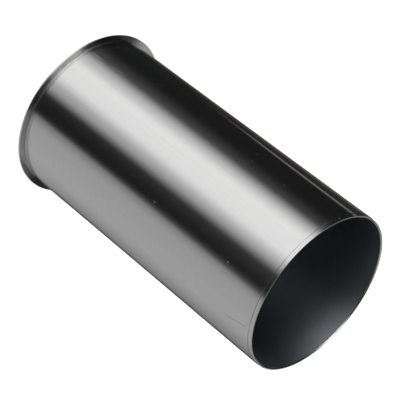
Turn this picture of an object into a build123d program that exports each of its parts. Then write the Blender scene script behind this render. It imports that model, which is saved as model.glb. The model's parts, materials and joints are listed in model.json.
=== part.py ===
from build123d import *
import os

# A dry cylinder liner: one thin steel tube with a narrow flange at its fire end, turned, ground
# and honed from a single piece. It stands on its fire face, which lies in the plane Z = 0 with
# the cylinder's axis on +Z, so the skirt end is at the top. All lengths are in millimetres.

# Tube
bore_diameter = 102.0
wall = 1.5
liner_length = 204.0

# Flange at the fire end, with a relief groove in the body just above its seat
flange_overhang = 3.7
flange_thickness = 1.25
flange_edge_break = 0.15
relief_width = 0.8
relief_depth = 0.25
relief_root_radius = 0.25
relief_shoulder = 0.25

# Edges of the bore and of the skirt end, where a step ends the ground body and a long shallow
# taper leads the tube into its block
fire_mouth_chamfer = 0.4
skirt_mouth_chamfer = 0.3
lead_in_step = 0.2
lead_in_length = 2.4
lead_in_drop = 0.35
skirt_edge_break = 0.15

# Radii that follow from the sizes above
bore_radius = bore_diameter / 2
body_radius = bore_radius + wall
flange_radius = body_radius + flange_overhang
relief_radius = body_radius - relief_depth
skirt_radius = body_radius - lead_in_drop


def section():
    """Draw the wall's half section: X is the radius and Z the height above the fire face."""
    relief_top = flange_thickness + relief_width
    root_centre = (relief_radius + relief_root_radius, flange_thickness + relief_root_radius)
    with BuildSketch(Plane.XZ) as wall_section:
        with BuildLine():
            seat = Polyline(
                (bore_radius, fire_mouth_chamfer),
                (bore_radius + fire_mouth_chamfer, 0),
                (flange_radius - flange_edge_break, 0),
                (flange_radius, flange_edge_break),
                (flange_radius, flange_thickness - flange_edge_break),
                (flange_radius - flange_edge_break, flange_thickness),
                (root_centre[0], flange_thickness),
            )
            root = CenterArc(root_centre, relief_root_radius, 180, 90)
            Polyline(
                root @ 0,
                (relief_radius, relief_top - relief_shoulder),
                (body_radius, relief_top),
                (body_radius, liner_length - lead_in_length - lead_in_step),
                (body_radius - lead_in_step, liner_length - lead_in_length),
                (skirt_radius, liner_length - skirt_edge_break),
                (skirt_radius - skirt_edge_break, liner_length),
                (bore_radius + skirt_mouth_chamfer, liner_length),
                (bore_radius, liner_length - skirt_mouth_chamfer),
                seat @ 0,
            )
        make_face()
    return wall_section.sketch


def cylinder_liner():
    """Turn the half section about the cylinder's axis into the one-piece liner."""
    with BuildPart() as liner:
        revolve(section(), axis=Axis.Z)
    return liner.part


os.makedirs("parts", exist_ok=True)
export_step(cylinder_liner(), "parts/cylinder_liner.step")
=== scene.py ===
"""Dry cylinder liner in turned, ground and honed steel, stood on its flange in a light tent."""

import json
import logging
import math
from dataclasses import dataclass
from enum import Enum

import bpy
from mathutils import Matrix, Vector


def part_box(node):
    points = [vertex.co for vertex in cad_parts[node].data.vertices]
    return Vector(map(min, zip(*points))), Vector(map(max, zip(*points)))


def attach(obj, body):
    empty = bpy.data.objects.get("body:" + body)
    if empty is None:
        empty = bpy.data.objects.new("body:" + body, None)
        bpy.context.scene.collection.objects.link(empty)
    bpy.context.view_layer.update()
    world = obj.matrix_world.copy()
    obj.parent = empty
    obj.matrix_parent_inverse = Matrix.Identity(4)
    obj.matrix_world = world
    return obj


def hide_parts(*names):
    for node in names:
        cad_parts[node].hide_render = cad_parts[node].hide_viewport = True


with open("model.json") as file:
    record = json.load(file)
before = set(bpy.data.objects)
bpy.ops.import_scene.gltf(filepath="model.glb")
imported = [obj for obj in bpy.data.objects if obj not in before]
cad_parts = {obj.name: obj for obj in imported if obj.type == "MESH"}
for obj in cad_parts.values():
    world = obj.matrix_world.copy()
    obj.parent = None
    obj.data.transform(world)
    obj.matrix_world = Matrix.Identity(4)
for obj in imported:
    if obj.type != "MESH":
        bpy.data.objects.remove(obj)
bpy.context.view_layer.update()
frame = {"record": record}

LOG = logging.getLogger("cylinder_liner")
MM = 0.001
NODE = "cylinder_liner"

BLACK = "000000"
WHITE = "ffffff"

# A range whose ends are eased, as marks, spots and panels fade.
SMOOTH = {"interpolation_type": "SMOOTHSTEP"}

# Places of the colour mix's sockets, whose names repeat for each type of data.
MIX_SHARE, MIX_UNDER, MIX_OVER = 0, 6, 7
MIX_COLOUR = 2


def linear(hex_colour: str) -> tuple[float, float, float, float]:
    """Turn an sRGB hex colour into linear light.

    Args:
        hex_colour: Six hex digits, such as "c7c6c4".

    Returns:
        Linear red, green and blue, with an alpha of 1.
    """
    channels = [int(hex_colour[i:i + 2], 16) / 255 for i in (0, 2, 4)]
    light = [c / 12.92 if c <= 0.04045 else ((c + 0.055) / 1.055) ** 2.4 for c in channels]
    return (*light, 1.0)


def add_node(
    tree: bpy.types.NodeTree,
    kind: str,
    settings: dict | None = None,
    inputs: dict | tuple = (),
) -> bpy.types.Node:
    """Add a node with its settings, values and links.

    Args:
        tree: The node tree that gets the node.
        kind: Blender's name for the node's type, such as "ShaderNodeMath".
        settings: The node's own properties by name.
        inputs: Values or output sockets, by input name or index, or in the inputs' own order.

    Returns:
        The new node.
    """
    node = tree.nodes.new(kind)
    for name, value in (settings or {}).items():
        setattr(node, name, value)
    pairs = inputs.items() if isinstance(inputs, dict) else enumerate(inputs)
    for name, value in pairs:
        if isinstance(value, bpy.types.NodeSocket):
            tree.links.new(value, node.inputs[name])
        else:
            node.inputs[name].default_value = value
    return node


# ---------------------------------------------------------------------------------------------
# Finishes
# ---------------------------------------------------------------------------------------------

# Noise gathers about its middle, so marks and streaks are read between these of its values.
ROUGH_FROM, ROUGH_TO = 0.3, 0.7
SHADE_FROM, SHADE_TO = 0.35, 0.75
STREAK_FROM, STREAK_TO = 0.45, 0.75

# Shares of a speck's and a rust spot's radius that stay solid inside their soft edges.
SPECK_CORE = 0.4
RUST_CORE = 0.3

# Share of a scratch's rise over which each of its ends eases out.
SCRATCH_TAPER = 0.2

# The shader's tangent runs round the part; a quarter turn lays the stretch across the rings.
ACROSS_THE_RINGS = 0.25


class Zone(Enum):
    """The finishes on the liner's one wall, in the order of its material slots."""

    GROUND = 0
    HONED = 1
    TURNED = 2
    BROKEN_EDGE = 3
    STEP = 4
    SEAT = 5
    GROOVE = 6


@dataclass(frozen=True)
class Scratch:
    """A straight scratch on the ground wall, nearly along the axis.

    Attributes:
        start: Angle from +X in degrees and height in metres of its lower end.
        end: Angle and height of its upper end.
        width: Width of the scratch, in metres.
        weight: How much of the steel it dulls, from 0 to 1.
        shade: Share of the steel's colour that it takes away.
    """

    start: tuple[float, float]
    end: tuple[float, float]
    width: float
    weight: float
    shade: float


@dataclass(frozen=True)
class RustSpot:
    """A small spot of rust on the ground wall.

    Attributes:
        place: Its middle, in metres.
        radius: Its radius, in metres.
        colour: sRGB hex of the rust.
    """

    place: tuple[float, float, float]
    radius: float
    colour: str


class Wall:
    """Coordinates on the liner's wall, in metres and radians, as sockets of one material."""

    def __init__(self, tree: bpy.types.NodeTree) -> None:
        """Read the point on the wall and split it.

        Args:
            tree: The material's node tree.
        """
        self.tree = tree
        self.point = add_node(tree, "ShaderNodeTexCoord").outputs["Object"]
        x, y, self.height = add_node(tree, "ShaderNodeSeparateXYZ", inputs=(self.point,)).outputs
        self.flat = add_node(tree, "ShaderNodeCombineXYZ", inputs=(x, y)).outputs[0]
        self.radius = add_node(
            tree, "ShaderNodeVectorMath", {"operation": "LENGTH"}, (self.flat,)
        ).outputs["Value"]
        self.angle = add_node(tree, "ShaderNodeMath", {"operation": "ARCTAN2"}, (y, x)).outputs[0]

    def rings(self, pitch: float, reach: float) -> bpy.types.NodeSocket:
        """Draw the fine rings that a tool or wheel leaves round a turning part.

        Args:
            pitch: Distance from ring to ring.
            reach: Distance round the part over which one ring fades into another.

        Returns:
            The marks, from 0 to 1.
        """
        outward = add_node(self.tree, "ShaderNodeCombineXYZ", inputs=(0.0, 0.0, self.radius))
        drawn = add_node(
            self.tree,
            "ShaderNodeVectorMath",
            {"operation": "ADD"},
            (self.point, outward.outputs[0]),
        )
        place = add_node(
            self.tree,
            "ShaderNodeVectorMath",
            {"operation": "DIVIDE"},
            (drawn.outputs[0], (reach, reach, pitch)),
        )
        noise = add_node(
            self.tree,
            "ShaderNodeTexNoise",
            inputs={"Vector": place.outputs[0], "Scale": 1.0, "Detail": 3.0, "Roughness": 0.6},
        )
        return noise.outputs["Fac"]

    def helix(self, spacing: float, lead: float) -> bpy.types.NodeSocket:
        """Draw the scratches that a hone leaves as it turns and slides.

        Args:
            spacing: Width of one scratch, measured round the bore.
            lead: How far a scratch climbs in one turn. A negative lead climbs the other way.

        Returns:
            The marks, from 0 to 1.
        """
        turn = add_node(
            self.tree,
            "ShaderNodeMath",
            {"operation": "MULTIPLY"},
            (self.height, math.tau / lead),
        )
        turned = add_node(
            self.tree,
            "ShaderNodeVectorRotate",
            {"rotation_type": "Z_AXIS"},
            {"Vector": self.flat, "Angle": turn.outputs[0]},
        )
        noise = add_node(
            self.tree,
            "ShaderNodeTexNoise",
            inputs={
                "Vector": turned.outputs[0],
                "Scale": 1 / spacing,
                "Detail": 2.0,
                "Roughness": 0.55,
            },
        )
        return noise.outputs["Fac"]

    def streaks(self, width: float, length: float) -> bpy.types.NodeSocket:
        """Draw faint streaks along the axis, as oil and wiping leave them.

        Args:
            width: Distance from streak to streak, round the wall.
            length: Length of one streak.

        Returns:
            1 on the strongest streaks and 0 between them.
        """
        place = add_node(
            self.tree,
            "ShaderNodeVectorMath",
            {"operation": "DIVIDE"},
            (self.point, (width, width, length)),
        )
        noise = add_node(
            self.tree,
            "ShaderNodeTexNoise",
            inputs={"Vector": place.outputs[0], "Scale": 1.0, "Detail": 2.0},
        )
        return add_node(
            self.tree,
            "ShaderNodeMapRange",
            SMOOTH,
            (noise.outputs["Fac"], STREAK_FROM, STREAK_TO),
        ).outputs[0]

    def specks(self, spacing: float, size: float, share: float) -> bpy.types.NodeSocket:
        """Scatter specks of dust.

        Args:
            spacing: Distance between the places where a speck may lie.
            size: Radius of a speck.
            share: Share of those places that hold one.

        Returns:
            1 on a speck and 0 elsewhere.
        """
        cells = add_node(
            self.tree, "ShaderNodeTexVoronoi", inputs={"Vector": self.point, "Scale": 1 / spacing}
        )
        draw = add_node(self.tree, "ShaderNodeSeparateColor", inputs=(cells.outputs["Color"],))
        chosen = add_node(
            self.tree, "ShaderNodeMath", {"operation": "LESS_THAN"}, (draw.outputs[0], share)
        )
        radius = size / spacing
        return add_node(
            self.tree,
            "ShaderNodeMapRange",
            SMOOTH,
            (cells.outputs["Distance"], radius, SPECK_CORE * radius, 0.0, chosen.outputs[0]),
        ).outputs[0]

    def spot(self, rust: RustSpot) -> bpy.types.NodeSocket:
        """Draw one spot of rust.

        Args:
            rust: The spot.

        Returns:
            1 inside the spot and 0 outside it.
        """
        away = add_node(
            self.tree,
            "ShaderNodeVectorMath",
            {"operation": "DISTANCE"},
            (self.point, rust.place),
        )
        return add_node(
            self.tree,
            "ShaderNodeMapRange",
            SMOOTH,
            (away.outputs["Value"], rust.radius, RUST_CORE * rust.radius, 0.0, 1.0),
        ).outputs[0]

    def scratch(self, line: Scratch) -> bpy.types.NodeSocket:
        """Draw one scratch.

        Args:
            line: The scratch.

        Returns:
            1 along the scratch's middle, easing to 0 at its sides and ends.
        """
        (start_angle, low), (end_angle, high) = line.start, line.end
        middle = add_node(
            self.tree,
            "ShaderNodeMapRange",
            inputs=(self.height, low, high, math.radians(start_angle), math.radians(end_angle)),
        )
        off = add_node(
            self.tree, "ShaderNodeMath", {"operation": "SUBTRACT"}, (self.angle, middle.outputs[0])
        )
        turn = add_node(self.tree, "ShaderNodeMath", {"operation": "ABSOLUTE"}, (off.outputs[0],))
        away = add_node(
            self.tree,
            "ShaderNodeMath",
            {"operation": "MULTIPLY"},
            (turn.outputs[0], self.radius),
        )
        taper = SCRATCH_TAPER * (high - low)
        mask = 1.0
        for value, edge, inside in (
            (away.outputs[0], line.width / 2, 0.0),
            (self.height, low, low + taper),
            (self.height, high, high - taper),
        ):
            mask = add_node(
                self.tree, "ShaderNodeMapRange", SMOOTH, (value, edge, inside, 0.0, mask)
            ).outputs[0]
        return mask


@dataclass(frozen=True)
class SteelFinish:
    """A bare steel surface.

    Attributes:
        name: The material's name.
        colour: Base colour as sRGB hex.
        roughness: Mean roughness.
        swing: How far the tool marks move the roughness either way.
        anisotropy: Stretch of the highlights across the rings.
        shade: Share of the base colour that the deepest marks take away.
        mark_depth: Height of the marks in metres, drawn as bump.
        pitch: Distance from mark to mark, in metres.
        reach: Distance in metres that one mark runs: round the part before a ring fades into
            another, or up the bore in one turn of a hone's scratch.
    """

    name: str
    colour: str
    roughness: float
    swing: float
    anisotropy: float
    shade: float
    mark_depth: float
    pitch: float
    reach: float

    def marks(self, wall: Wall) -> bpy.types.NodeSocket:
        """Draw this finish's tool marks, from 0 to 1."""
        return wall.rings(self.pitch, self.reach)

    def weather(self, wall: Wall, shader: dict) -> None:
        """Lay streaks, dust and scratches on the steel, if the finish shows any.

        Args:
            wall: The wall's coordinates.
            shader: The shader's inputs so far, which this changes.
        """

    def material(self) -> bpy.types.Material:
        """Build the finish.

        Returns:
            A metal whose colour, roughness and bump follow its tool marks.
        """
        made = bpy.data.materials.new(self.name)
        made.use_nodes = True
        tree = made.node_tree
        tree.nodes.clear()
        wall = Wall(tree)
        marks = self.marks(wall)
        roughness = add_node(
            tree,
            "ShaderNodeMapRange",
            SMOOTH,
            (
                marks,
                ROUGH_FROM,
                ROUGH_TO,
                self.roughness - self.swing,
                self.roughness + self.swing,
            ),
        )
        shade = add_node(
            tree, "ShaderNodeMapRange", SMOOTH, (marks, SHADE_FROM, SHADE_TO, 0.0, self.shade)
        )
        colour = add_node(
            tree,
            "ShaderNodeMix",
            {"data_type": "RGBA"},
            {
                MIX_SHARE: shade.outputs[0],
                MIX_UNDER: linear(self.colour),
                MIX_OVER: linear(BLACK),
            },
        )
        bump = add_node(
            tree,
            "ShaderNodeBump",
            inputs={"Height": marks, "Distance": self.mark_depth, "Strength": 1.0},
        )
        tangent = add_node(tree, "ShaderNodeTangent", {"direction_type": "RADIAL", "axis": "Z"})
        shader = {
            "Base Color": colour.outputs[MIX_COLOUR],
            "Metallic": 1.0,
            "Roughness": roughness.outputs[0],
            "Anisotropic": self.anisotropy,
            "Anisotropic Rotation": ACROSS_THE_RINGS,
            "Normal": bump.outputs[0],
            "Tangent": tangent.outputs[0],
        }
        self.weather(wall, shader)
        steel = add_node(tree, "ShaderNodeBsdfPrincipled", inputs=shader)
        add_node(tree, "ShaderNodeOutputMaterial", inputs={"Surface": steel.outputs[0]})
        return made


@dataclass(frozen=True)
class GroundSteel(SteelFinish):
    """Centreless-ground alloy steel: near mirror, with fine rings, dust and handling scratches.

    Attributes:
        speck_spacing: Distance between the places where dust may lie, in metres.
        speck_radius: Radius of a speck, in metres.
        speck_share: Share of those places that hold a speck.
        scratches: The handling scratches.
        rust: The spots of rust.
        dust_colour: sRGB hex of the dust.
        dust_roughness: Roughness that dust, rust and a full scratch add.
        dust_cover: How far a speck takes away the metal's look, from 0 to 1.
        streak_width: Distance from streak to streak, in metres.
        streak_length: Length of one streak, in metres.
        streak_shade: Share of the steel's colour that the strongest streaks take away.
    """

    speck_spacing: float = 4.0 * MM
    speck_radius: float = 0.4 * MM
    speck_share: float = 0.2
    scratches: tuple[Scratch, ...] = ()
    rust: tuple[RustSpot, ...] = ()
    dust_colour: str = "b4b2af"
    dust_roughness: float = 0.35
    dust_cover: float = 0.3
    streak_width: float = 1.6 * MM
    streak_length: float = 160.0 * MM
    streak_shade: float = 0.02

    def weather(self, wall: Wall, shader: dict) -> None:
        """Streak the wall, scatter dust and draw the rust spots and scratches.

        Args:
            wall: The wall's coordinates.
            shader: The shader's inputs so far, which this changes.
        """
        dust = wall.specks(self.speck_spacing, self.speck_radius, self.speck_share)
        streaks = wall.streaks(self.streak_width, self.streak_length)
        # Where each layer lies, how far it roughens, how far it covers, and its colour.
        layers = [
            (streaks, 0.0, self.streak_shade, BLACK),
            (dust, 1.0, 1.0, self.dust_colour),
        ]
        layers += [(wall.spot(spot), 1.0, 1.0, spot.colour) for spot in self.rust]
        layers += [(wall.scratch(line), line.weight, line.shade, BLACK) for line in self.scratches]
        for mask, weight, cover, colour in layers:
            covered = add_node(
                wall.tree, "ShaderNodeMath", {"operation": "MULTIPLY"}, (mask, cover)
            )
            shader["Base Color"] = add_node(
                wall.tree,
                "ShaderNodeMix",
                {"data_type": "RGBA"},
                {
                    MIX_SHARE: covered.outputs[0],
                    MIX_UNDER: shader["Base Color"],
                    MIX_OVER: linear(colour),
                },
            ).outputs[MIX_COLOUR]
            shader["Roughness"] = add_node(
                wall.tree,
                "ShaderNodeMath",
                {"operation": "MULTIPLY_ADD"},
                (mask, weight * self.dust_roughness, shader["Roughness"]),
            ).outputs[0]
        shader["Metallic"] = add_node(
            wall.tree,
            "ShaderNodeMath",
            {"operation": "MULTIPLY_ADD"},
            (dust, -self.dust_cover, 1.0),
        ).outputs[0]


@dataclass(frozen=True)
class HonedSteel(SteelFinish):
    """Plateau-honed bore: a satin crosshatch that holds oil, on steel darkened as painted shade."""

    def marks(self, wall: Wall) -> bpy.types.NodeSocket:
        """Cross the scratches of the hone's upward and downward strokes.

        Args:
            wall: The wall's coordinates.

        Returns:
            The mean of both strokes' marks, from 0 to 1.
        """
        strokes = (wall.helix(self.pitch, self.reach), wall.helix(self.pitch, -self.reach))
        crossed = add_node(wall.tree, "ShaderNodeMath", {"operation": "ADD"}, strokes)
        return add_node(
            wall.tree,
            "ShaderNodeMath",
            {"operation": "DIVIDE"},
            (crossed.outputs[0], len(strokes)),
        ).outputs[0]


# Centreless grinding leaves a soft mirror, so light runs along the wall in smooth bands. Its rings
# are hundredths of a millimetre apart; they are drawn some ten times coarser to show. Dust is a
# tenth of a millimetre or two across, and scratches are a tenth wide or less; both are drawn
# several times larger to show. The widest scratch is a soft rub mark.
GROUND = GroundSteel(
    name="ground_alloy_steel",
    colour="c9c8c8",
    roughness=0.12,
    swing=0.02,
    anisotropy=0.4,
    shade=0.03,
    mark_depth=0.0004 * MM,
    pitch=0.5 * MM,
    reach=14.0 * MM,
    scratches=(
        Scratch((-38.4, 180.0 * MM), (-43.3, 202.0 * MM), width=1.1 * MM, weight=0.3, shade=0.24),
        Scratch((-125.5, 4.0 * MM), (-125.6, 15.0 * MM), width=0.35 * MM, weight=0.9, shade=0.0),
        Scratch((-125.6, 20.0 * MM), (-126.5, 37.0 * MM), width=0.35 * MM, weight=0.9, shade=0.0),
    ),
    rust=(
        RustSpot((40.3 * MM, -33.66 * MM, 186.5 * MM), radius=0.55 * MM, colour="b04a30"),
        RustSpot((-40.96 * MM, -32.84 * MM, 135.0 * MM), radius=0.45 * MM, colour="b08c6c"),
    ),
)

# The flange's seat is face-ground and lapped, so it mirrors more sharply than the wall. Its rings
# are too fine to see and are drawn 0.3 mm apart.
SEAT = SteelFinish(
    name="lapped_seat_steel",
    colour="c8c7c7",
    roughness=0.06,
    swing=0.01,
    anisotropy=0.4,
    shade=0.02,
    mark_depth=0.0002 * MM,
    pitch=0.3 * MM,
    reach=20.0 * MM,
)

# Plateau honing leaves an oily satin crosshatch, and the bore's colour is painted darker than the
# outside steel as painted shade. Its scratches are a few hundredths of a millimetre wide; they are
# drawn about 1 mm apart to show.
HONED = HonedSteel(
    name="plateau_honed_painted_shade",
    colour="989ca2",
    roughness=0.36,
    swing=0.04,
    anisotropy=0.1,
    shade=0.15,
    mark_depth=0.002 * MM,
    pitch=1.2 * MM,
    reach=180.0 * MM,
)

# Finish-turned end faces carry feed rings that blur the light into a satin. The rings are about
# 0.1 mm apart and are drawn at 0.25 mm.
TURNED = SteelFinish(
    name="finish_turned_steel",
    colour="c4c4c3",
    roughness=0.24,
    swing=0.05,
    anisotropy=0.6,
    shade=0.08,
    mark_depth=0.001 * MM,
    pitch=0.25 * MM,
    reach=30.0 * MM,
)

# Edges are broken with a fine file and strip; their colour is painted brighter than the ground
# wall's as a painted highlight, so they catch light as the brightest steel. Their marks are drawn
# 0.2 mm apart, a few times coarser than they are.
BROKEN_EDGE = SteelFinish(
    name="filed_edge_painted_highlight",
    colour="d2d1cf",
    roughness=0.2,
    swing=0.04,
    anisotropy=0.3,
    shade=0.04,
    mark_depth=0.0005 * MM,
    pitch=0.2 * MM,
    reach=10.0 * MM,
)

# The small step that ends the ground body is left unground and rougher, and its colour is painted
# darker than the turned steel's as painted shade, so it reads as a thin dark line. Its feed rings
# are drawn at 0.2 mm, twice as coarse as they are.
STEP = SteelFinish(
    name="unground_step_painted_shade",
    colour="8e8e8e",
    roughness=0.3,
    swing=0.04,
    anisotropy=0.3,
    shade=0.06,
    mark_depth=0.0005 * MM,
    pitch=0.2 * MM,
    reach=10.0 * MM,
)

# The relief groove is left as the grooving tool cuts it, so it is rougher than the ground wall; its
# colour is a shade darker as painted shade in the recess. Its rings are drawn at 0.2 mm, twice as
# coarse as they are.
GROOVE = SteelFinish(
    name="grooved_painted_shade_steel",
    colour="b4b4b3",
    roughness=0.28,
    swing=0.03,
    anisotropy=0.4,
    shade=0.05,
    mark_depth=0.0004 * MM,
    pitch=0.2 * MM,
    reach=12.0 * MM,
)

FINISHES = {
    Zone.GROUND: GROUND,
    Zone.HONED: HONED,
    Zone.TURNED: TURNED,
    Zone.BROKEN_EDGE: BROKEN_EDGE,
    Zone.STEP: STEP,
    Zone.SEAT: SEAT,
    Zone.GROOVE: GROOVE,
}


# ---------------------------------------------------------------------------------------------
# The liner
# ---------------------------------------------------------------------------------------------


@dataclass(frozen=True)
class Corner:
    """A corner of the wall's section, in metres.

    Attributes:
        radius: Distance from the axis.
        height: Height above the fire face.
        zone: Finish of the face that leaves this corner.
        rounding: Radius that the corner is rounded to.
    """

    radius: float
    height: float
    zone: Zone
    rounding: float = 0.03 * MM


@dataclass(frozen=True)
class Station:
    """A point of the rounded section.

    Attributes:
        point: Its distance from the axis and its height, in metres.
        normal: The outward normal in the section's plane.
        zone: Finish of the strip that follows it.
    """

    point: Vector
    normal: Vector
    zone: Zone


@dataclass(frozen=True)
class Liner:
    """The one-piece liner, turned as a closed section about its axis. Sizes are in metres.

    Attributes:
        bore_radius: Radius of the honed bore.
        body_radius: Radius of the ground outside.
        flange_radius: Radius of the flange.
        seat_height: Height of the seat where it meets the groove: the flange's full thickness.
        length: Overall length.
        flange_edge_break: Width of both broken edges of the flange.
        relief_width: Height of the relief groove above the seat.
        relief_depth: Depth of the groove below the ground outside.
        relief_root_radius: Rounding where the groove meets the seat.
        relief_shoulder: Height of the slope that ends the groove.
        fire_mouth_chamfer: Chamfer of the bore at the fire face.
        skirt_mouth_chamfer: Chamfer of the bore at the skirt.
        lead_in_length: Length of the lead-in that helps the skirt enter the block.
        lead_in_drop: How far the lead-in has fallen below the body at the skirt's end.
        lead_in_step: Size of the 45 degree step that starts the lead-in.
        lead_in_rounding: Rounding of the step's two corners.
        seat_fall: How far the seat falls towards the flange's rim.
        skirt_edge_break: Width of the broken edge outside the skirt.
        segments: Number of faces round the liner.
        arc_steps: Number of faces round each rounded corner.
    """

    bore_radius: float
    body_radius: float
    flange_radius: float
    seat_height: float
    length: float
    flange_edge_break: float = 0.15 * MM
    relief_width: float = 0.8 * MM
    relief_depth: float = 0.25 * MM
    relief_root_radius: float = 0.02 * MM
    relief_shoulder: float = 0.25 * MM
    fire_mouth_chamfer: float = 0.4 * MM
    skirt_mouth_chamfer: float = 0.45 * MM
    lead_in_length: float = 2.4 * MM
    lead_in_drop: float = 0.3 * MM
    lead_in_step: float = 0.25 * MM
    lead_in_rounding: float = 0.02 * MM
    seat_fall: float = 0.2 * MM
    skirt_edge_break: float = 0.1 * MM
    segments: int = 512
    arc_steps: int = 4

    @classmethod
    def from_frame(cls) -> "Liner":
        """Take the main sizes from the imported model's box and mounts.

        Returns:
            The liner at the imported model's size.
        """
        mounts = {mount["name"]: mount for mount in frame["record"]["mounts"]}
        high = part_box(NODE)[1]
        return cls(
            bore_radius=mounts["cylinder_bore"]["dims"]["r_mm"] * MM,
            body_radius=mounts["block_bore_seat"]["dims"]["r_mm"] * MM,
            flange_radius=high.x,
            seat_height=mounts["flange_seat"]["pos_m"][2],
            length=high.z,
        )

    def flange_corners(self) -> list[Corner]:
        """List the corners from the fire face's mouth round the flange to the body.

        Returns:
            The corners in order, with the steel on the left of the way.
        """
        bore, flange = self.bore_radius, self.flange_radius
        edge = self.flange_edge_break
        rim = self.seat_height - self.seat_fall
        relief = self.body_radius - self.relief_depth
        relief_top = self.seat_height + self.relief_width
        return [
            Corner(bore, self.fire_mouth_chamfer, Zone.BROKEN_EDGE),
            Corner(bore + self.fire_mouth_chamfer, 0, Zone.TURNED),
            Corner(flange - edge, 0, Zone.BROKEN_EDGE),
            Corner(flange, edge, Zone.GROUND),
            Corner(flange, rim - edge, Zone.SEAT),
            Corner(flange - edge, rim, Zone.SEAT),
            Corner(relief, self.seat_height, Zone.GROOVE, self.relief_root_radius),
            Corner(relief, relief_top - self.relief_shoulder, Zone.GROOVE),
            Corner(self.body_radius, relief_top, Zone.GROUND),
        ]

    def skirt_corners(self) -> list[Corner]:
        """List the corners from the lead-in over the skirt's end and into the bore.

        Returns:
            The corners in order, with the steel on the left of the way.
        """
        bore, body, top = self.bore_radius, self.body_radius, self.length
        rounding = self.lead_in_rounding
        lead_in = top - self.lead_in_length
        skirt = body - self.lead_in_drop
        return [
            Corner(body, lead_in - self.lead_in_step, Zone.STEP, rounding),
            Corner(body - self.lead_in_step, lead_in, Zone.GROUND, rounding),
            Corner(skirt, top - self.skirt_edge_break, Zone.BROKEN_EDGE),
            Corner(skirt - self.skirt_edge_break, top, Zone.TURNED),
            Corner(bore + self.skirt_mouth_chamfer, top, Zone.BROKEN_EDGE),
            Corner(bore, top - self.skirt_mouth_chamfer, Zone.HONED),
        ]

    def stations(self) -> list[Station]:
        """Round each corner of the section.

        Returns:
            Points in order round the section, tangent to the faces on both sides.
        """
        corners = self.flange_corners() + self.skirt_corners()
        places = [Vector((corner.radius, corner.height)) for corner in corners]
        found = []
        for i, corner in enumerate(corners):
            here = places[i]
            into = (here - places[i - 1]).normalized()
            out = (places[(i + 1) % len(places)] - here).normalized()
            turn = math.atan2(into.cross(out), into.dot(out))
            side = math.copysign(1, turn)
            start = here - into * corner.rounding * math.tan(abs(turn) / 2)
            first = Vector((into.y, -into.x))
            centre = start - side * first * corner.rounding
            for step in range(self.arc_steps + 1):
                normal = first.copy()
                normal.rotate(Matrix.Rotation(turn * step / self.arc_steps, 2))
                last = step == self.arc_steps
                # Outward corners get the edges' painted highlight; inward ones keep their face's
                # finish.
                zone = corner.zone if last or side < 0 else Zone.BROKEN_EDGE
                found.append(Station(centre + side * corner.rounding * normal, normal, zone))
        return found

    def build(self) -> bpy.types.Object:
        """Turn the section about the axis and dress its faces.

        Returns:
            The closed mesh, riding on the part's body in the CAD solid's place.
        """
        stations = self.stations()
        count = len(stations)
        turns = [
            Matrix.Rotation(math.tau * i / self.segments, 3, "Z") for i in range(self.segments)
        ]
        points = [turn @ Vector((s.point.x, 0, s.point.y)) for turn in turns for s in stations]
        normals = [turn @ Vector((s.normal.x, 0, s.normal.y)) for turn in turns for s in stations]
        faces = []
        zones = []
        for i in range(self.segments):
            here = i * count
            there = (i + 1) % self.segments * count
            for j, station in enumerate(stations):
                k = (j + 1) % count
                faces.append((here + j, there + j, there + k, here + k))
                zones.append(station.zone.value)
        mesh = bpy.data.meshes.new("turned_liner")
        mesh.from_pydata(points, [], faces)
        for zone in Zone:
            mesh.materials.append(FINISHES[zone].material())
        mesh.polygons.foreach_set("material_index", zones)
        mesh.polygons.foreach_set("use_smooth", [True] * len(faces))
        mesh.normals_split_custom_set_from_vertices(normals)
        piece = bpy.data.objects.new("turned_liner", mesh)
        bpy.context.scene.collection.objects.link(piece)
        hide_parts(NODE)
        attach(piece, "root")
        return piece


# ---------------------------------------------------------------------------------------------
# The studio
# ---------------------------------------------------------------------------------------------

# Tints of the tent's cloths, as sRGB hex.
WARM_CLOTH = "ffe6c4"
COOL_CLOTH = "f4fbfa"
LILAC_CLOTH = "fbfaff"
TEAL_CLOTH = "70b0c8"

# Light of the tent's dark corners, between the panels.
DARK_CORNERS = (0.0155, 0.0165, 0.016)

# How far a panel's lean follows the fall or rise of a ray past the camera's own, in degrees.
LEAN_FROM, LEAN_TO = -4.0, 8.0

HALF_TURN = 180.0


@dataclass(frozen=True)
class Panel:
    """An upright panel of the light tent, which the steel mirrors as a band along its axis.

    Directions are angles in degrees round the liner, from the camera's side towards -X.

    Attributes:
        start: Where the panel begins.
        end: Where it ends.
        start_fade: Width of its soft edge at the start.
        end_fade: Width of its soft edge at the end.
        strength: Brightness of the panel.
        lean: Degrees that the panel turns round per degree of rise or fall past the camera's own.
        bottom: Lowest angle from the horizon that it reaches.
        top: Highest angle from the horizon that it reaches.
        blur: Half the width of its soft lower and upper edges.
        colour: sRGB hex of its cloth.
    """

    start: float
    end: float
    start_fade: float
    end_fade: float
    strength: float
    lean: float = 0.0
    bottom: float = -95.0
    top: float = 95.0
    blur: float = 1.5
    colour: str = WHITE


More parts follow.
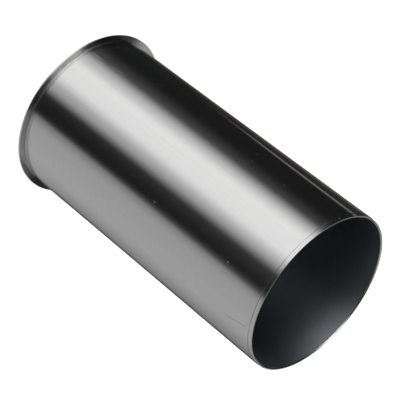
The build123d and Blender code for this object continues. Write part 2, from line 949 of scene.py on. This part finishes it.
# Seen from above, the ground wall mirrors what lies below the horizon, and the seat and the edges
# mirror what lies above it, so many panels end part of the way up.
GREY_SIDE = (
    Panel(-185, -64, 60, 68, 0.07, top=34, blur=3),
    Panel(-140, -64, 40, 68, 0.07, bottom=34, blur=3),
    Panel(-154, -46.3, 17, 7, 0.165, top=40, blur=5),
    Panel(-131, -49, 57, 26, 0.31, lean=-0.42, top=50, blur=5),
    Panel(-131, -49, 57, 26, 0.1, bottom=50),
    Panel(-163, -132, 14, 26, 0.16, top=-36.8),
    Panel(-183, -166, 8, 6, 0.1, bottom=-34.5, top=-30.5, colour=COOL_CLOTH),
    Panel(-110, -46, 30, 12, 0.12, bottom=22, top=38, blur=5),
)
BRIGHT_SIDE = (
    Panel(8, 69, 98, 56, 0.18, lean=0.9),
    Panel(-8, 51.5, 17, 20, 0.52, lean=-0.18, top=40, blur=5),
    Panel(7, 65, 20.5, 18, 0.59, lean=0.3),
    Panel(14, 62, 20, 16, 0.5, bottom=22, top=38, blur=5),
    Panel(45, 66, 16, 10, 0.25, bottom=40),
    Panel(12, 70, 20, 20, 0.8, bottom=51),
)
# Panels that draw a thin line, a lit rim and a faint tint on the wall's dark side.
DARK_SIDE = (
    Panel(131.6, 135, 3, 3, 0.3, lean=1.0, bottom=-31.7, top=0),
    Panel(149, 186, 30, 16, 0.06, lean=0.9, top=0, blur=5, colour=WARM_CLOTH),
    Panel(160, 181.5, 9.5, 8, 0.115, lean=0.9, top=0, blur=5, colour=COOL_CLOTH),
    Panel(118, 127, 8, 8, 0.012, lean=0.9, top=-34, blur=2, colour=TEAL_CLOTH),
)
# Panels over the far side, which the flange's seat, the groove and the edges mirror.
FAR_SIDE = (
    Panel(150, 176, 60, 6, 0.04, bottom=33, colour=LILAC_CLOTH),
    Panel(150, 176, 20, 6, 0.45, bottom=33, top=37.1, blur=1.2, colour=LILAC_CLOTH),
    Panel(-178, -120, 4, 30, 0.12, bottom=37.4, top=50, blur=1.2),
    Panel(168, 192, 10, 10, 0.38, bottom=20, top=30, colour=COOL_CLOTH),
    Panel(-178, -128, 12, 20, 0.2, bottom=22, top=32.5),
)
# Low strong strips that light the bore through the mouth, and a faint one above them.
BORE_LIGHTS = (
    Panel(2, 61, 40, 30, 15.0, bottom=3, top=7.5, blur=3),
    Panel(2, 63, 40, 34, 7.5, bottom=3.5, top=16.5, blur=3.5),
    Panel(-60, 20, 20, 20, 0.03, bottom=33, top=50),
    Panel(-140, -20, 40, 40, 1.7, bottom=3, top=7.5, blur=3),
)
PANELS = GREY_SIDE + BRIGHT_SIDE + DARK_SIDE + FAR_SIDE + BORE_LIGHTS


class Sky:
    """Directions inside the light tent, in degrees, as sockets of the world's shader."""

    def __init__(self, tree: bpy.types.NodeTree, tilt: float) -> None:
        """Read the direction of a ray and split it.

        Args:
            tree: The world's node tree.
            tilt: Fall of the camera's line of sight, past which the panels lean.
        """
        self.tree = tree
        way = add_node(tree, "ShaderNodeTexCoord").outputs["Generated"]
        facing = add_node(
            tree, "ShaderNodeVectorMath", {"operation": "MULTIPLY"}, (way, (-1.0, -1.0, 1.0))
        )
        across, ahead, up = add_node(
            tree, "ShaderNodeSeparateXYZ", inputs=(facing.outputs[0],)
        ).outputs
        turn = add_node(tree, "ShaderNodeMath", {"operation": "ARCTAN2"}, (across, ahead))
        self.azimuth = add_node(
            tree, "ShaderNodeMath", {"operation": "DEGREES"}, (turn.outputs[0],)
        ).outputs[0]
        lift = add_node(tree, "ShaderNodeMath", {"operation": "ARCSINE"}, (up,))
        self.rise = add_node(
            tree, "ShaderNodeMath", {"operation": "DEGREES"}, (lift.outputs[0],)
        ).outputs[0]
        steep = add_node(tree, "ShaderNodeMath", {"operation": "ABSOLUTE"}, (self.rise,))
        past = add_node(
            tree, "ShaderNodeMath", {"operation": "SUBTRACT"}, (steep.outputs[0], tilt)
        )
        self.slope = add_node(
            tree, "ShaderNodeClamp", inputs=(past.outputs[0], LEAN_FROM, LEAN_TO)
        ).outputs[0]

    def cover(self, panel: Panel) -> bpy.types.NodeSocket:
        """Mark out one panel.

        Args:
            panel: The panel.

        Returns:
            1 on the panel, easing to 0 across its soft edges.
        """
        leaning = add_node(
            self.tree,
            "ShaderNodeMath",
            {"operation": "MULTIPLY_ADD"},
            (self.slope, -panel.lean, self.azimuth),
        )
        middle = (panel.start + panel.end) / 2
        around = add_node(
            self.tree,
            "ShaderNodeMath",
            {"operation": "WRAP"},
            (leaning.outputs[0], middle + HALF_TURN, middle - HALF_TURN),
        ).outputs[0]
        mask = 1.0
        for value, edge, reach in (
            (around, panel.start, panel.start_fade / 2),
            (around, panel.end, -panel.end_fade / 2),
            (self.rise, panel.bottom, panel.blur),
            (self.rise, panel.top, -panel.blur),
        ):
            mask = add_node(
                self.tree,
                "ShaderNodeMapRange",
                SMOOTH,
                (value, edge - reach, edge + reach, 0.0, mask),
            ).outputs[0]
        return mask


@dataclass(frozen=True)
class Studio:
    """A pale floor inside a soft light tent.

    Attributes:
        floor_size: Width of the floor, in metres.
        floor_drop: Gap that keeps the floor clear of the fire face, in metres.
        floor_colour: sRGB hex of the paper on the floor.
        floor_roughness: Roughness of the paper.
        backdrop: sRGB hex of the tent behind the floor.
        fill: Brightness of the tent's white cloth, which lights the floor.
        tilt: Fall of the camera's line of sight in degrees, past which the panels lean.
    """

    floor_size: float = 20.0
    floor_drop: float = 0.05 * MM
    floor_colour: str = "f6f6f5"
    floor_roughness: float = 0.95
    backdrop: str = "fbfbfb"
    fill: float = 1.6
    tilt: float = 31.6

    def paper(self) -> bpy.types.Material:
        """Make the floor's matt paper, whose fibres spread the light and give no shine.

        Returns:
            The paper.
        """
        paper = bpy.data.materials.new("matt_paper")
        paper.use_nodes = True
        shader = paper.node_tree.nodes["Principled BSDF"]
        shader.inputs["Base Color"].default_value = linear(self.floor_colour)
        shader.inputs["Roughness"].default_value = self.floor_roughness
        shader.inputs["Specular IOR Level"].default_value = 0.0
        return paper

    def floor(self) -> bpy.types.Object:
        """Lay the pale paper floor, which the polished steel does not mirror.

        Returns:
            The floor.
        """
        half = self.floor_size / 2
        corners = [(-half, -half), (half, -half), (half, half), (-half, half)]
        mesh = bpy.data.meshes.new("paper_floor")
        mesh.from_pydata([(x, y, -self.floor_drop) for x, y in corners], [], [(0, 1, 2, 3)])
        mesh.materials.append(self.paper())
        floor = bpy.data.objects.new("paper_floor", mesh)
        bpy.context.scene.collection.objects.link(floor)
        floor.visible_glossy = False
        return floor

    def tent(self) -> bpy.types.World:
        """Hang the panels for the steel and even white cloth for the floor.

        Returns:
            The world, set as the scene's own.
        """
        world = bpy.data.worlds.new("light_tent")
        world.use_nodes = True
        # The steel's own rays find the panels, so the tent needs no map of its brightest places.
        world.cycles.sampling_method = "NONE"
        bpy.context.scene.world = world
        tree = world.node_tree
        tree.nodes.clear()
        sky = Sky(tree, self.tilt)
        light = DARK_CORNERS
        for panel in PANELS:
            tint = [channel * panel.strength for channel in linear(panel.colour)[:3]]
            light = add_node(
                tree,
                "ShaderNodeVectorMath",
                {"operation": "MULTIPLY_ADD"},
                (sky.cover(panel), tint, light),
            ).outputs[0]
        rays = add_node(tree, "ShaderNodeLightPath")
        cloth = add_node(
            tree,
            "ShaderNodeMix",
            {"data_type": "RGBA"},
            {
                MIX_SHARE: rays.outputs["Is Diffuse Ray"],
                MIX_UNDER: light,
                MIX_OVER: (self.fill, self.fill, self.fill, 1.0),
            },
        )
        seen = add_node(
            tree,
            "ShaderNodeMix",
            {"data_type": "RGBA"},
            {
                MIX_SHARE: rays.outputs["Is Camera Ray"],
                MIX_UNDER: cloth.outputs[MIX_COLOUR],
                MIX_OVER: linear(self.backdrop),
            },
        )
        back = add_node(
            tree, "ShaderNodeBackground", inputs={"Color": seen.outputs[MIX_COLOUR]}
        )
        add_node(tree, "ShaderNodeOutputWorld", inputs={"Surface": back.outputs[0]})
        return world


@dataclass(frozen=True)
class CameraStand:
    """A long lens that looks down into the skirt end, rolled so that the liner leans.

    Attributes:
        aim: Point that the lens is centred on, in metres.
        distance: Distance from that point, in metres.
        elevation: Height of the lens above the point, in degrees.
        roll: Turn of the camera about its line of sight, in degrees.
        lens: Focal length in millimetres on the default sensor.
    """

    aim: tuple[float, float, float] = (-0.44 * MM, 0.0, 103.74 * MM)
    distance: float = 947.3 * MM
    elevation: float = 31.63
    roll: float = 128.24
    lens: float = 142.8

    def build(self) -> bpy.types.Object:
        """Set up the camera and make it the scene's own.

        Returns:
            The camera.
        """
        data = bpy.data.cameras.new("long_lens")
        data.lens = self.lens
        camera = bpy.data.objects.new("long_lens", data)
        bpy.context.scene.collection.objects.link(camera)
        tilt = math.radians(self.elevation)
        back = Vector((0, -math.cos(tilt), math.sin(tilt)))
        place = Matrix.Translation(Vector(self.aim) + back * self.distance)
        level = Matrix.Rotation(math.pi / 2 - tilt, 4, "X")
        roll = Matrix.Rotation(math.radians(self.roll), 4, "Z")
        camera.matrix_world = place @ level @ roll
        bpy.context.scene.camera = camera
        return camera


def main() -> None:
    """Build the camera, the studio and the liner, and report each."""
    logging.basicConfig(level=logging.INFO, format="%(name)s: %(message)s")
    bpy.context.scene.view_settings.view_transform = "Standard"
    camera = CameraStand().build()
    LOG.info("%s: %.1f mm lens", camera.name, camera.data.lens)
    studio = Studio()
    floor = studio.floor()
    LOG.info("%s: %.1f m wide", floor.name, studio.floor_size)
    tent = studio.tent()
    LOG.info("%s: %d panels", tent.name, len(PANELS))
    liner = Liner.from_frame().build()
    LOG.info("%s: %d faces", liner.name, len(liner.data.polygons))


if __name__ == "__main__":
    main()
